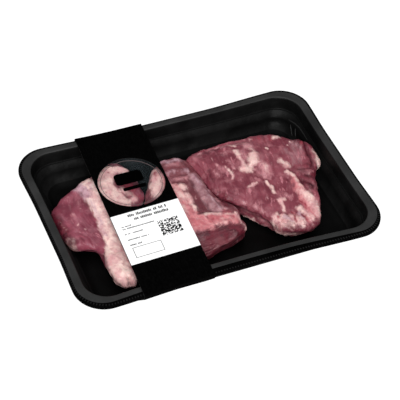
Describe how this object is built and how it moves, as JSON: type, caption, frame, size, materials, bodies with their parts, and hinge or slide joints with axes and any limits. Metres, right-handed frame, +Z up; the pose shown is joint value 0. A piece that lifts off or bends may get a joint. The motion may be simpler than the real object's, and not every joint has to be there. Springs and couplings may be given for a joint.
{
  "type": "meat tray pack",
  "caption": "Shallow black retail tray holding raw beef pieces, wrapped by a narrow card sleeve with a round film window and a white label.",
  "frame": {"origin": "on the floor, under the middle of the pack", "axes": "+X along the tray's long side, to the right in the picture; +Y to the back; +Z up"},
  "size_m": [0.2642, 0.1824, 0.0309],
  "materials": {
    "tray_plastic": "satin",
    "sleeve_card": "matte",
    "label_paper": "matte",
    "clear_film": "gloss",
    "meat_pale": "satin",
    "meat_pink": "satin",
    "meat_dark": "satin"
  },
  "bodies": {
    "root": {"tray": "tray_plastic", "sleeve": "sleeve_card", "label": "label_paper", "window_film": "clear_film", "meat_left": "meat_pale", "meat_middle": "meat_pink", "meat_right": "meat_dark"}
  },
  "joints": []
}
